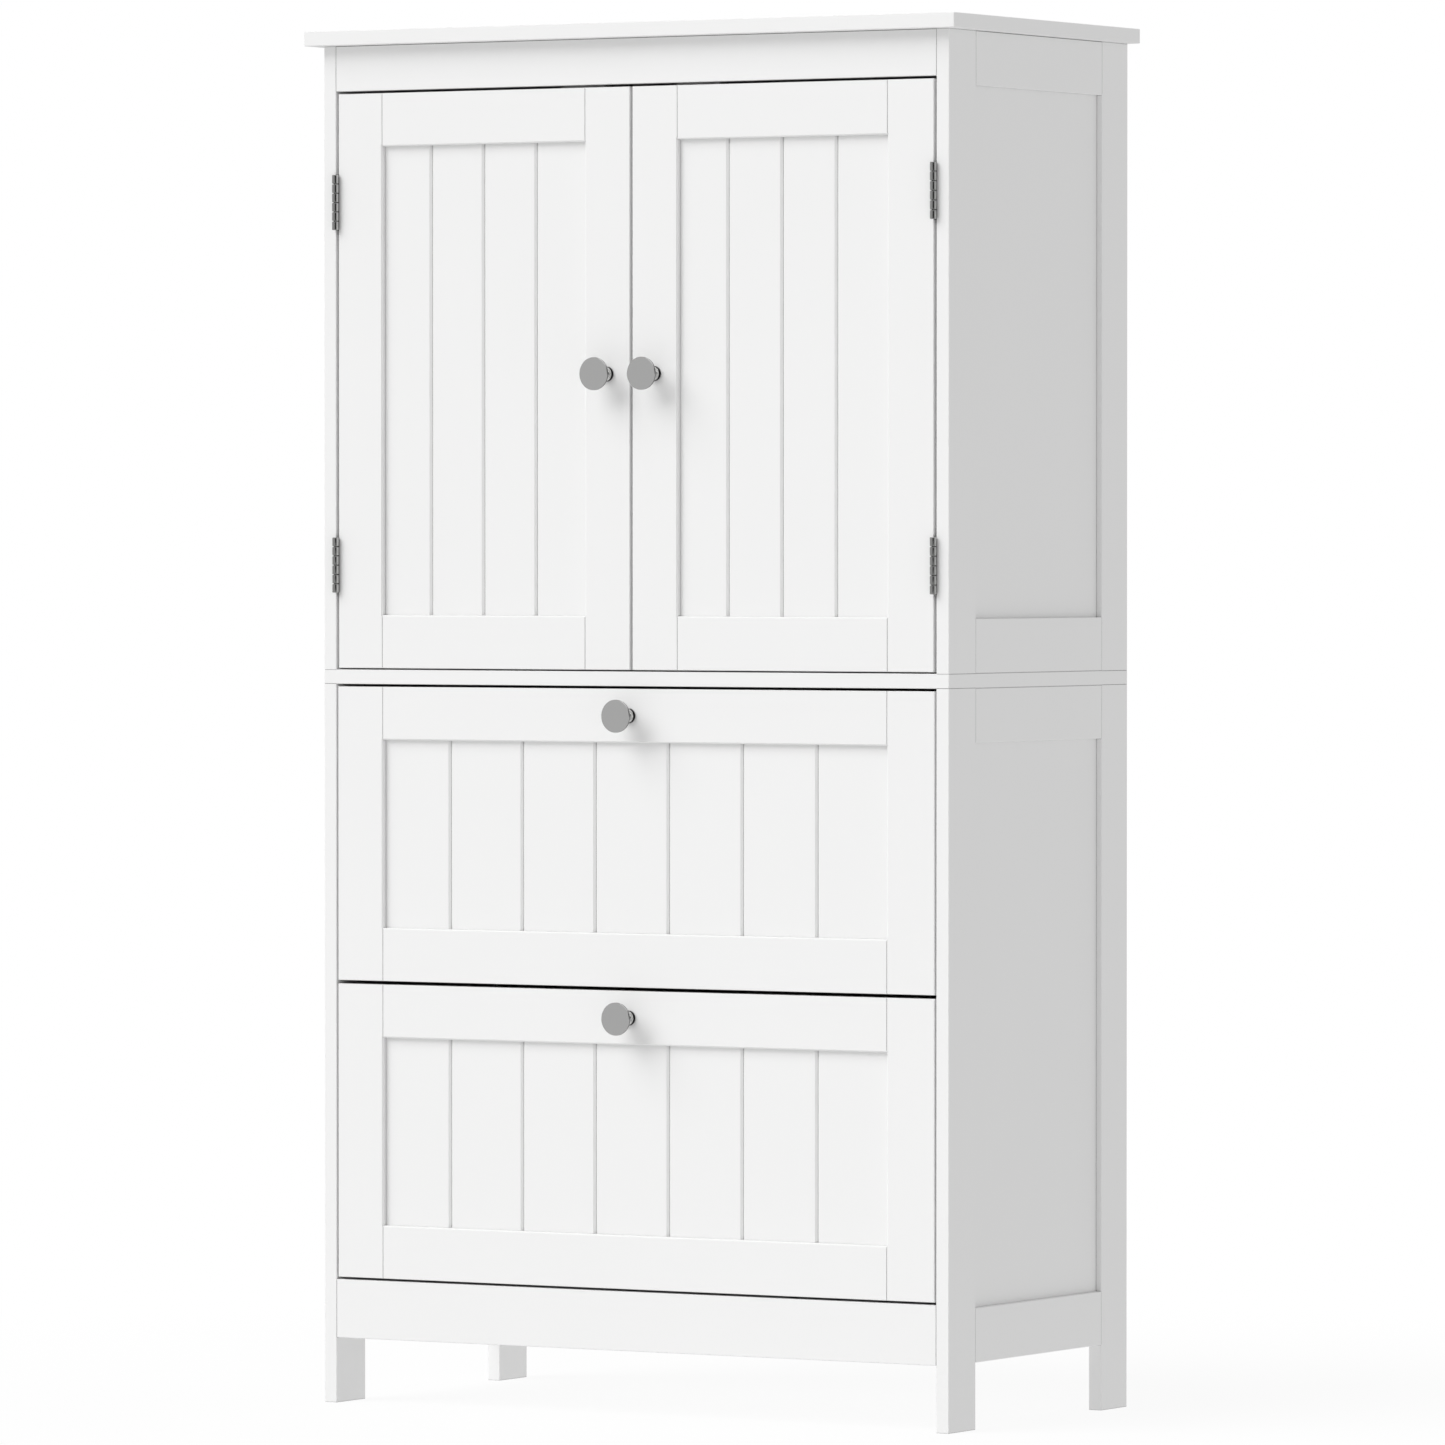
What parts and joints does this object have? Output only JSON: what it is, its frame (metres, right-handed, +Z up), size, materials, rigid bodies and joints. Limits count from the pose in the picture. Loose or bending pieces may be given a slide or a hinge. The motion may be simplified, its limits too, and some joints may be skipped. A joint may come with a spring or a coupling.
{
  "type": "pantry cabinet",
  "caption": "Tall white framed pantry cabinet with boarded double doors above stacked boarded drawers, disc knobs and plain legs.",
  "frame": {"origin": "on the floor, in the middle of the width, halfway between the knob faces and the back", "axes": "+X to the right along the front, +Y from the front to the back, +Z up"},
  "size_m": [0.6754, 0.351, 1.242],
  "materials": {
    "white_paint": "satin white lacquer over smooth board",
    "box_paint": "matt white lacquer over board",
    "white_hardboard": "white-coated hardboard",
    "runner_wood": "waxed beech",
    "knob_metal": "polished nickel",
    "hinge_steel": "nickel-plated steel",
    "fitting_steel": "zinc-plated steel",
    "screw_steel": "zinc-plated steel",
    "catch_plastic": "moulded plastic"
  },
  "bodies": {
    "cabinet": {"bottom_board": "white_paint", "catch_rail": "white_paint", "door_catches": "catch_plastic", "drawer_runners": "runner_wood", "fascia": "white_paint", "front_apron": "white_paint", "hinge_pins": "hinge_steel", "left_back_leg": "white_paint", "left_back_post": "white_paint", "left_front_leg": "white_paint", "left_front_post": "white_paint", "lower_back_panel": "white_hardboard", "lower_left_side_panel": "white_paint", "lower_left_side_rails": "white_paint", "lower_right_side_panel": "white_paint", "lower_right_side_rails": "white_paint", "middle_board": "white_paint", "post_hinge_leaves": "hinge_steel", "right_back_leg": "white_paint", "right_back_post": "white_paint", "right_front_leg": "white_paint", "right_front_post": "white_paint", "shelf": "white_paint", "shelf_pins": "fitting_steel", "top_board": "white_paint", "upper_back_panel": "white_hardboard", "upper_left_side_panel": "white_paint", "upper_left_side_rails": "white_paint", "upper_right_side_panel": "white_paint", "upper_right_side_rails": "white_paint"},
    "left_door": {"left_door_boarding": "white_paint", "left_door_hinge_leaves": "hinge_steel", "left_door_knob": "knob_metal", "left_door_knob_screw": "screw_steel", "left_door_rails": "white_paint", "left_door_stiles": "white_paint", "left_door_strike_plate": "fitting_steel"},
    "right_door": {"right_door_boarding": "white_paint", "right_door_hinge_leaves": "hinge_steel", "right_door_knob": "knob_metal", "right_door_knob_screw": "screw_steel", "right_door_rails": "white_paint", "right_door_stiles": "white_paint", "right_door_strike_plate": "fitting_steel"},
    "upper_drawer": {"upper_drawer_boarding": "white_paint", "upper_drawer_box_back": "box_paint", "upper_drawer_box_bottom": "white_hardboard", "upper_drawer_box_sides": "box_paint", "upper_drawer_knob": "knob_metal", "upper_drawer_knob_screw": "screw_steel", "upper_drawer_rails": "white_paint", "upper_drawer_stiles": "white_paint"},
    "lower_drawer": {"lower_drawer_boarding": "white_paint", "lower_drawer_box_back": "box_paint", "lower_drawer_box_bottom": "white_hardboard", "lower_drawer_box_sides": "box_paint", "lower_drawer_knob": "knob_metal", "lower_drawer_knob_screw": "screw_steel", "lower_drawer_rails": "white_paint", "lower_drawer_stiles": "white_paint"}
  },
  "joints": [
    {"name": "left_door_hinge", "type": "hinge", "parent": "cabinet", "child": "left_door", "pos_m": [-0.3108, -0.1548, 0.9265], "axis": [0, 0, -1], "range_deg": [0, 180]},
    {"name": "right_door_hinge", "type": "hinge", "parent": "cabinet", "child": "right_door", "pos_m": [0.3108, -0.1548, 0.9265], "axis": [0, 0, 1], "range_deg": [0, 180]},
    {"name": "upper_drawer_slide", "type": "slide", "parent": "cabinet", "child": "upper_drawer", "axis": [0, -1, 0], "range_m": [0, 0.2]},
    {"name": "lower_drawer_slide", "type": "slide", "parent": "cabinet", "child": "lower_drawer", "axis": [0, -1, 0], "range_m": [0, 0.2]}
  ]
}
